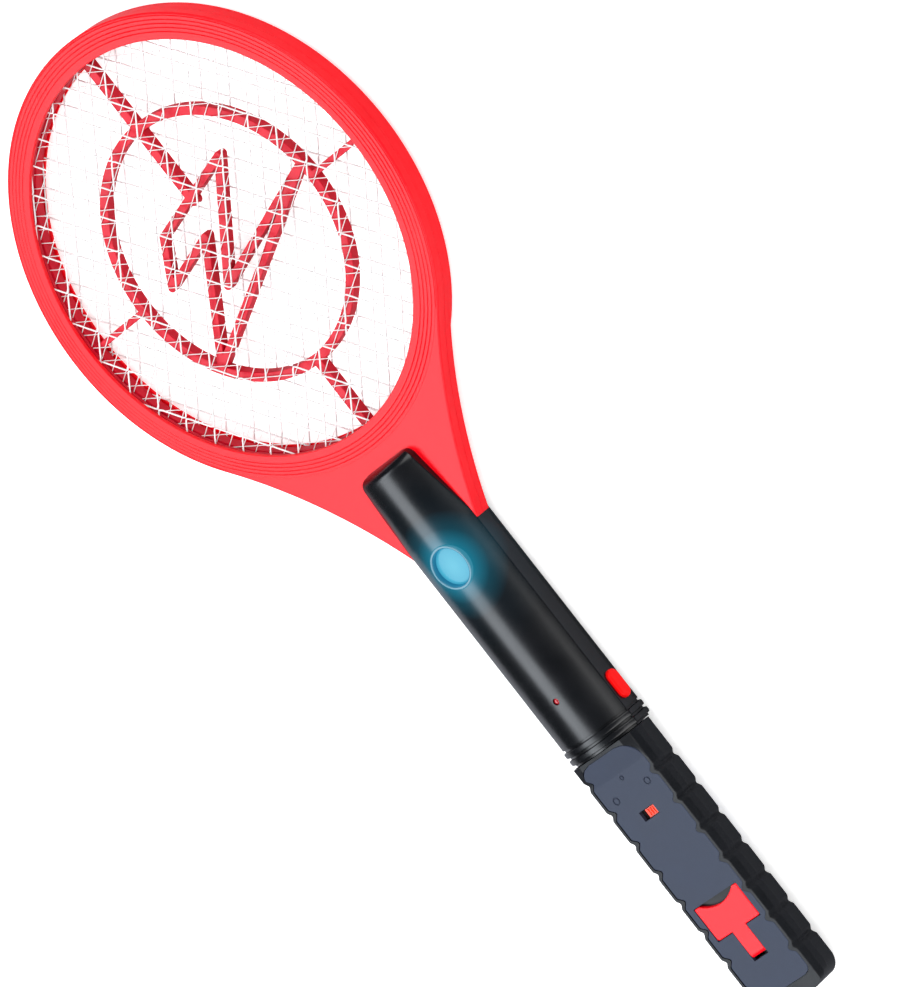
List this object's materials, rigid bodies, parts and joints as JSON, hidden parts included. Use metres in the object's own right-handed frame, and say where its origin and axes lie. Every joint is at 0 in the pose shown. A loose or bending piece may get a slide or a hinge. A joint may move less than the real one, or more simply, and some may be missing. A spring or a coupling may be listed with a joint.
{
  "type": "electric fly swatter",
  "caption": "Round racket head with guard and charged grids on a lit, rechargeable handle with a push button, slide switch and charging cover.",
  "frame": {"origin": "middle of the racket's box, on the surface that it lies on", "axes": "+Y from the grip to the tip of the head, +Z out of the front face, +X to the side with the push button"},
  "size_m": [0.216, 0.508, 0.0255],
  "materials": {
    "frame_red": "satin gloss, bright red",
    "web_red": "satin, crimson",
    "grid_wire": "satin silver",
    "shell_black": "satin gloss, black",
    "plate_slate": "matte slate grey",
    "lens_cyan": "clear cyan, lit",
    "reflector": "mirror",
    "led_white": "clear resin, lit",
    "led_red": "clear red resin",
    "knob_orange": "satin, orange-red",
    "steel": "nickel plated",
    "board_green": "solder mask",
    "part_black": "moulded",
    "lead_red": "insulation",
    "winding": "varnished tape",
    "cell_blue": "printed sleeve over a metal can"
  },
  "bodies": {
    "racket": {"front_frame": "frame_red", "rear_frame": "frame_red", "spacer_web": "web_red", "grid_spacer": "web_red", "front_guard_grid": "grid_wire", "charged_grid": "grid_wire", "rear_guard_grid": "grid_wire", "front_shell": "shell_black", "rear_shell": "shell_black", "collar": "shell_black", "lamp_bezel": "shell_black", "grip_front": "shell_black", "grip_rear": "shell_black", "grip_plate": "plate_slate", "lamp_lens": "lens_cyan", "lamp_reflector": "reflector", "lamp_led": "led_white", "indicator_led": "led_red", "switch_body": "steel", "cover_pin": "steel", "charge_port": "steel", "battery_strap_top": "steel", "battery_strap_end": "steel", "frame_screw_1": "steel", "frame_screw_2": "steel", "frame_screw_3": "steel", "frame_screw_4": "steel", "frame_screw_5": "steel", "frame_screw_6": "steel", "handle_screw_1": "steel", "handle_screw_2": "steel", "handle_screw_3": "steel", "handle_screw_4": "steel", "handle_screw_5": "steel", "circuit_board": "board_green", "charge_board": "board_green", "tact_switch": "part_black", "capacitor": "part_black", "grid_lead_right": "part_black", "grid_lead_left": "lead_red", "transformer": "winding", "battery_cell_left": "cell_blue", "battery_cell_right": "cell_blue"},
    "push_button": {"side_button": "frame_red"},
    "slide_knob": {"switch_knob": "knob_orange"},
    "cover": {"charge_cover": "frame_red"}
  },
  "joints": [
    {"name": "button_press", "type": "slide", "parent": "racket", "child": "push_button", "axis": [-1, 0, 0], "range_m": [0, 0.0015], "stiffness_N_per_m": 500},
    {"name": "switch_slide", "type": "slide", "parent": "racket", "child": "slide_knob", "axis": [-1, 0, 0], "range_m": [0, 0.0028]},
    {"name": "cover_hinge", "type": "hinge", "parent": "racket", "child": "cover", "pos_m": [0, -0.2272, 0.0187], "axis": [1, 0, 0], "range_deg": [0, 95]}
  ]
}
